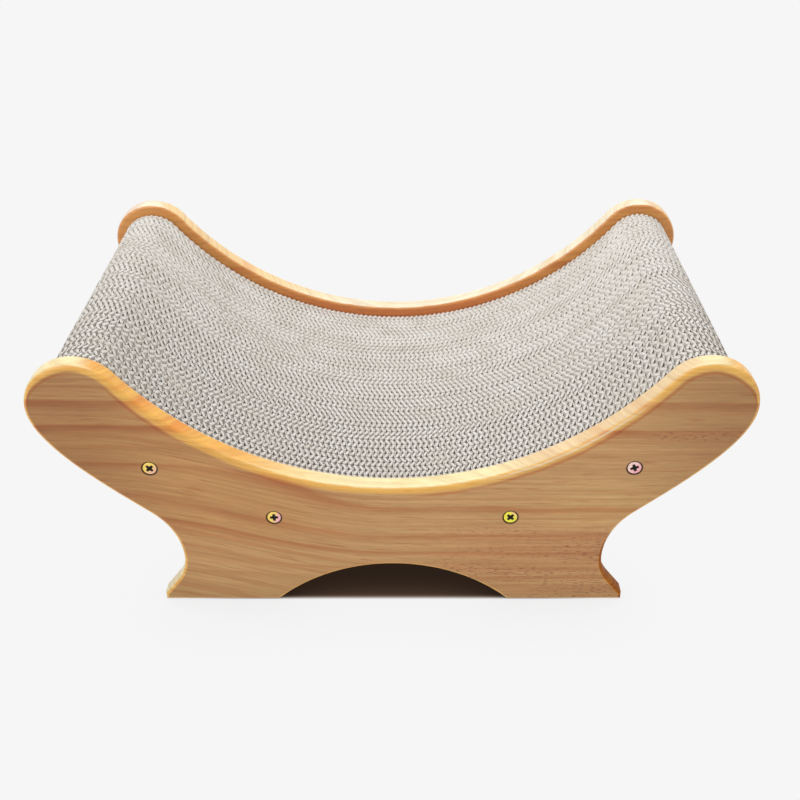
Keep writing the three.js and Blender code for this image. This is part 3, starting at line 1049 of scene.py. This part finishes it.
# Tones of the rims, rounded edges and inner faces hold painted light and shade
front_pine = panel_pine(
    "front_pine", FRONT_RINGS, FRONT_FLECK_ROWS, 1, FRONT_GOLD_REACH,
    face=(linear(212, 167, 111), linear(185, 113, 56)),
    inner_face=(linear(214, 158, 98), linear(190, 112, 64)),
    rim=(linear(252, 238, 184), linear(248, 218, 158)),
    right_rim=(linear(252, 192, 86), linear(243, 150, 48)),
    turned_edge=(linear(250, 196, 98), linear(226, 140, 58)),
)
rear_pine = panel_pine(
    "rear_pine", REAR_RINGS, REAR_FLECK_ROWS, -1, REAR_GOLD_REACH,
    face=(linear(208, 163, 110), linear(174, 106, 58)),
    inner_face=(linear(222, 138, 74), linear(196, 100, 48)),
    rim=(linear(252, 242, 214), linear(248, 222, 172)),
    right_rim=(linear(255, 224, 164), linear(240, 170, 100)),
    turned_edge=(linear(232, 160, 86), linear(200, 112, 54)),
)
bare_pine = rail_pine("rail_pine")
grey_board = cardboard("grey_corrugated_board")
recess_shadow = recess_metal()
gold = linear(255, 220, 118)
peach = linear(250, 196, 160)
pink = linear(250, 186, 190)
green = linear(246, 236, 84)
pale_pink = linear(250, 214, 206)
hues = {
    "outer_left": (gold, peach, -0.8, 1.2),
    "inner_left": (gold, pink, -0.3, 1.2),
    "inner_right": (green, peach, 0.8, 3.4),
    "outer_right": (pale_pink, pink, -0.6, -0.2),
}
platings = {
    place_name: plating(f"plating_{place_name}", place, *hues[place_name])
    for place_name, place in zip(RAIL_NAMES, RAIL_PLACES)
}


# Pieces

panels = (("front_side_panel", True, front_pine), ("rear_side_panel", False, rear_pine))
for node, is_front, material in panels:
    panel = panel_piece(node.replace("side", "pine"), is_front, material)
    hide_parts(node)
    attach(panel, "frame")

for place_name, place in zip(RAIL_NAMES, RAIL_PLACES):
    rail = rail_piece(f"{place_name}_pine_rail", place, bare_pine)
    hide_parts(f"{place_name}_cross_rail")
    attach(rail, "frame")

for end, is_front, turns in (("front", True, FRONT_TURNS), ("rear", False, REAR_TURNS)):
    for place_name, place, turn in zip(RAIL_NAMES, RAIL_PLACES, turns):
        metals = [platings[place_name], recess_shadow]
        screw = screw_piece(f"{end}_{place_name}_plated_screw", place, is_front, turn, metals)
        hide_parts(f"{end}_{place_name}_screw")
        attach(screw, "frame")

for layer_index, (lean, begin) in enumerate(flute_leans()):
    layer = layer_piece(layer_index, lean, begin, grey_board)
    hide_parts(f"cardboard_layer_{layer_index + 1:02d}")
    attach(layer, "pad")


# Floor, in millimetres: the shade under the part begins and is full so far in from its edges

BACKGROUND = linear(246, 246, 246)
FLOOR_HALF_SIDE = 6000.0
FRONT_SHADE = (0, 6)
REAR_SHADE = (0, 60)
SIDE_SHADE = (8, 66)

# Reach of the floor's shadows, lights and camera, in metres
CONTACT_REACH = 0.06
CONTACT_POWER = 0.12
OVERHEAD_REACH = 0.25
OVERHEAD_POWER = 4.0
AMBIENT = (1.0, 0.985, 0.965, 1)
AMBIENT_STRENGTH = 0.62
LIT_PLACE = (0, 0, 0.1)
CAMERA_PLACE = (0.0109, -0.7075, 0.5104)


def seen_directly(tree):
    """1 for a ray from the camera, also by way of something glossy or clear."""
    rays = tree.nodes.new("ShaderNodeLightPath")
    seen = rays.outputs["Is Camera Ray"]
    for kind in ("Is Glossy Ray", "Is Transmission Ray"):
        either = tree.nodes.new("ShaderNodeMath")
        either.operation = "MAXIMUM"
        tree.links.new(seen, either.inputs[0])
        tree.links.new(rays.outputs[kind], either.inputs[1])
        seen = either.outputs[0]
    return seen


def show_to_camera(tree, lit, shown, output):
    """Links two surfaces to an output: lit is what light meets, and shown is what is seen."""
    choice = tree.nodes.new("ShaderNodeMixShader")
    tree.links.new(seen_directly(tree), choice.inputs[0])
    tree.links.new(lit.outputs[0], choice.inputs[1])
    tree.links.new(shown.outputs[0], choice.inputs[2])
    tree.links.new(choice.outputs[0], output.inputs["Surface"])


def beneath_part(g):
    """1 on the floor well under the part, and 0 outside its footprint."""
    axes = g.millimetres()
    front, front_full = (-OVERALL_WIDTH / 2 + inset for inset in FRONT_SHADE)
    rear, rear_full = (OVERALL_WIDTH / 2 - inset for inset in REAR_SHADE)
    side, side_full = (TOE_X - inset for inset in SIDE_SHADE)
    within_width = g.window(axes["Y"], front, front_full, rear_full, rear)
    return g.times(within_width, g.between(g.absolute(axes["X"]), side, side_full))


def floor_tone(g):
    """The backdrop's tone, with a faint contact shadow round the part and a warm, deep shade
    under it."""
    close_by = g.node("ShaderNodeAmbientOcclusion", {"Distance": CONTACT_REACH}, samples=8)
    overhead = g.node("ShaderNodeAmbientOcclusion", {"Distance": OVERHEAD_REACH}, samples=24)
    beneath = beneath_part(g)
    contact = g.math("POWER", close_by.outputs["AO"], g.spread(beneath, CONTACT_POWER, 0.0))
    shade = g.math("POWER", overhead.outputs["AO"], g.times(beneath, OVERHEAD_POWER))
    lit_tone = g.mix(beneath, BACKGROUND, linear(232, 186, 152))
    under_tone = g.mix(shade, linear(42, 31, 24), lit_tone)
    return g.mix(contact, linear(120, 110, 102), under_tone)


def add_floor():
    """A pale floor that keeps the part's shadow and looks like the backdrop elsewhere."""
    g = Graph("pale_floor")
    g.set(Base_Color=linear(222, 221, 219), Roughness=0.9, Specular_IOR_Level=0.1)
    pale = g.node("ShaderNodeEmission", {"Color": floor_tone(g)})
    show_to_camera(g.tree, g.shader, pale, g.tree.nodes["Material Output"])
    side = FLOOR_HALF_SIDE
    corners = [(-side, -side, 0), (side, -side, 0), (side, side, 0), (-side, side, 0)]
    floor = new_piece("floor", corners, [(0, 1, 2, 3)], [g.material])


def add_world():
    """Soft light from all round, and the backdrop's tone where the camera sees past the part."""
    world = bpy.data.worlds.new("studio")
    bpy.context.scene.world = world
    world.use_nodes = True
    tree = world.node_tree
    tree.nodes.clear()
    ambient = tree.nodes.new("ShaderNodeBackground")
    ambient.inputs["Color"].default_value = AMBIENT
    ambient.inputs["Strength"].default_value = AMBIENT_STRENGTH
    backdrop = tree.nodes.new("ShaderNodeBackground")
    backdrop.inputs["Color"].default_value = BACKGROUND
    show_to_camera(tree, ambient, backdrop, tree.nodes.new("ShaderNodeOutputWorld"))


def add_softbox(name, place, width, height, watts):
    """A rectangular lamp that is turned to the part."""
    light = bpy.data.lights.new(name, "AREA")
    light.shape = "RECTANGLE"
    light.size = width
    light.size_y = height
    light.energy = watts
    lamp = bpy.data.objects.new(name, light)
    lamp.location = place
    lamp.rotation_euler = (Vector(LIT_PLACE) - Vector(place)).to_track_quat("-Z", "Y").to_euler()
    bpy.context.scene.collection.objects.link(lamp)


def add_camera():
    """Where the photograph was taken from, found from the edges of both side panels."""
    tilt_down = math.radians(31.48)
    yaw = 0.0093
    roll = -0.0066
    image_width = 800
    focal_pixels = 1106.7
    sensor_width = 36.0
    ahead = Vector((-math.sin(yaw), math.cos(yaw), 0))
    forward = ahead * math.cos(tilt_down) - Vector((0, 0, math.sin(tilt_down)))
    level_right = Vector((math.cos(yaw), math.sin(yaw), 0))
    level_up = level_right.cross(forward)
    right = level_right * math.cos(roll) + level_up * math.sin(roll)
    up = level_up * math.cos(roll) - level_right * math.sin(roll)
    data = bpy.data.cameras.new("camera")
    data.sensor_width = sensor_width
    data.lens = sensor_width * focal_pixels / image_width
    data.clip_start = 0.01
    camera = bpy.data.objects.new("camera", data)
    turn = Matrix((right, up, -forward)).transposed().to_4x4()
    camera.matrix_world = Matrix.Translation(CAMERA_PLACE) @ turn
    bpy.context.scene.collection.objects.link(camera)
    bpy.context.scene.camera = camera


add_floor()
add_world()
add_softbox("overhead_softbox", (0.12, 0.35, 1.6), 1.6, 1.2, 17)
add_softbox("front_softbox", (-1.1, -1.3, 0.9), 1.2, 1.2, 9)
add_camera()
bpy.context.scene.view_settings.view_transform = "Standard"
